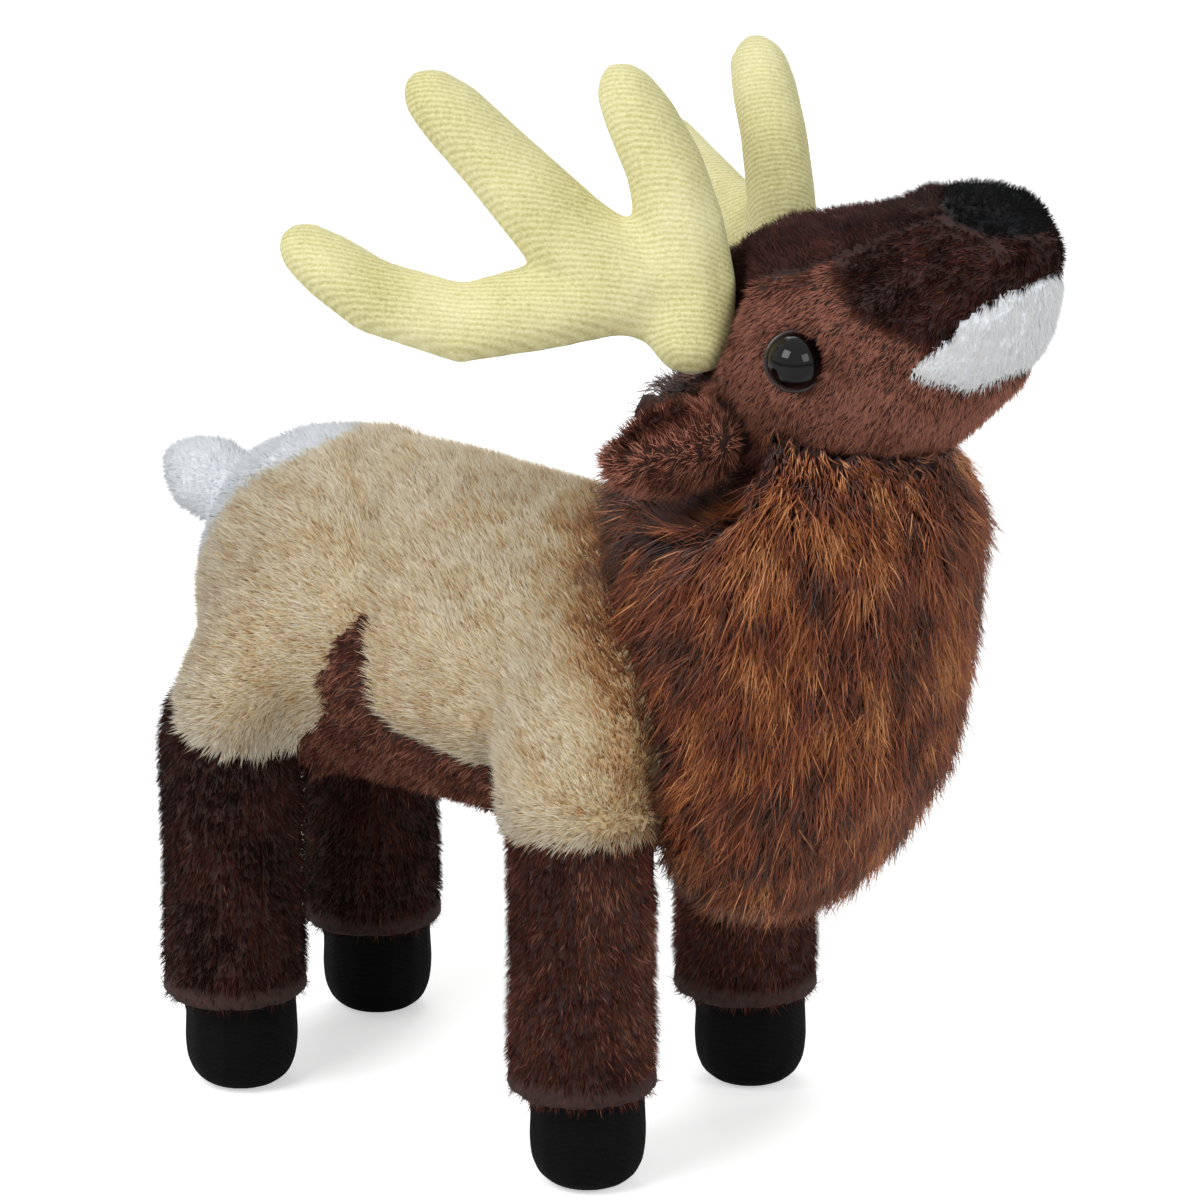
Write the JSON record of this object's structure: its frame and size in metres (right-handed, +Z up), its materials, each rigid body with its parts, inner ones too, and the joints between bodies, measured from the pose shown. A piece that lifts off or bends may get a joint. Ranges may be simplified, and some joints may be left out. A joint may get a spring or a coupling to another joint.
{
  "type": "plush deer",
  "caption": "Standing stuffed toy stag with a raised head, a long-haired ruff, soft three-tined antlers and sewn hooves.",
  "frame": {"origin": "on the ground in the plane of symmetry, halfway between the nose and the tip of the tail: the bottom centre of the box", "axes": "+Z up, -Y the way the toy faces, +X to the toy's own left"},
  "size_m": [0.1084, 0.1851, 0.2019],
  "materials": {
    "tan_plush": "tan pile with cream tips",
    "brown_plush": "dark brown pile",
    "curly_plush": "darker curly pile",
    "mane_plush": "long russet pile with dark roots",
    "white_plush": "white pile",
    "black_plush": "short black pile",
    "black_velboa": "short black pile with a sheen",
    "antler_velboa": "pale cream knitted pile with fine ribs",
    "filling": "white polyester stuffing",
    "eye_plastic": "glossy black",
    "washer_plastic": "white"
  },
  "bodies": {
    "trunk": {"body_cover_left": "tan_plush", "body_cover_right": "tan_plush", "belly_panel": "brown_plush", "rump_patch": "white_plush", "body_filling": "filling", "neck_ruff": "mane_plush", "neck_filling": "filling"},
    "tail": {"tail": "white_plush"},
    "head": {"head_cover_left": "brown_plush", "head_cover_right": "brown_plush", "forehead_gusset": "curly_plush", "chin_panel": "brown_plush", "nose_patch": "black_plush", "mouth_patch_left": "white_plush", "mouth_patch_right": "white_plush", "head_filling": "filling", "eye_left": "eye_plastic", "eye_right": "eye_plastic", "eye_washer_left": "washer_plastic", "eye_washer_right": "washer_plastic"},
    "ear_left": {"ear_left": "brown_plush"},
    "ear_right": {"ear_right": "brown_plush"},
    "antler_left": {"antler_left": "antler_velboa", "antler_filling_left": "filling"},
    "antler_right": {"antler_right": "antler_velboa", "antler_filling_right": "filling"},
    "leg_front_left": {"leg_cover_front_left": "brown_plush", "hoof_front_left": "black_velboa", "leg_filling_front_left": "filling"},
    "leg_front_right": {"leg_cover_front_right": "brown_plush", "hoof_front_right": "black_velboa", "leg_filling_front_right": "filling"},
    "leg_hind_left": {"leg_cover_hind_left": "brown_plush", "hoof_hind_left": "black_velboa", "leg_filling_hind_left": "filling"},
    "leg_hind_right": {"leg_cover_hind_right": "brown_plush", "hoof_hind_right": "black_velboa", "leg_filling_hind_right": "filling"}
  },
  "joints": [
    {"name": "head_nod", "type": "hinge", "parent": "trunk", "child": "head", "pos_m": [0, -0.0509, 0.151], "axis": [1, 0, 0], "range_deg": [-10, 10], "stiffness_Nm_per_rad": 0.6},
    {"name": "tail_lift", "type": "hinge", "parent": "trunk", "child": "tail", "pos_m": [0, 0.0761, 0.105], "axis": [1, 0, 0], "range_deg": [-12, 12], "stiffness_Nm_per_rad": 0.03},
    {"name": "ear_left_flap", "type": "hinge", "parent": "head", "child": "ear_left", "pos_m": [0.02, -0.0389, 0.138], "axis": [0, 0, 1], "range_deg": [-18, 18], "stiffness_Nm_per_rad": 0.03},
    {"name": "antler_left_bend", "type": "hinge", "parent": "head", "child": "antler_left", "pos_m": [0.016, -0.0309, 0.153], "axis": [0, 1, 0], "range_deg": [-8, 8], "stiffness_Nm_per_rad": 0.2},
    {"name": "ear_right_flap", "type": "hinge", "parent": "head", "child": "ear_right", "pos_m": [-0.02, -0.0389, 0.138], "axis": [0, 0, 1], "range_deg": [-18, 18], "stiffness_Nm_per_rad": 0.03},
    {"name": "antler_right_bend", "type": "hinge", "parent": "head", "child": "antler_right", "pos_m": [-0.016, -0.0309, 0.153], "axis": [0, 1, 0], "range_deg": [-8, 8], "stiffness_Nm_per_rad": 0.2},
    {"name": "leg_front_left_swing", "type": "hinge", "parent": "trunk", "child": "leg_front_left", "pos_m": [0.0285, -0.0165, 0.0665], "axis": [1, 0, 0], "range_deg": [-10, 10], "stiffness_Nm_per_rad": 0.6},
    {"name": "leg_front_right_swing", "type": "hinge", "parent": "trunk", "child": "leg_front_right", "pos_m": [-0.0285, -0.0165, 0.0665], "axis": [1, 0, 0], "range_deg": [-10, 10], "stiffness_Nm_per_rad": 0.6},
    {"name": "leg_hind_left_swing", "type": "hinge", "parent": "trunk", "child": "leg_hind_left", "pos_m": [0.0225, 0.0631, 0.068], "axis": [1, 0, 0], "range_deg": [-10, 10], "stiffness_Nm_per_rad": 0.6},
    {"name": "leg_hind_right_swing", "type": "hinge", "parent": "trunk", "child": "leg_hind_right", "pos_m": [-0.0225, 0.0631, 0.068], "axis": [1, 0, 0], "range_deg": [-10, 10], "stiffness_Nm_per_rad": 0.6}
  ]
}
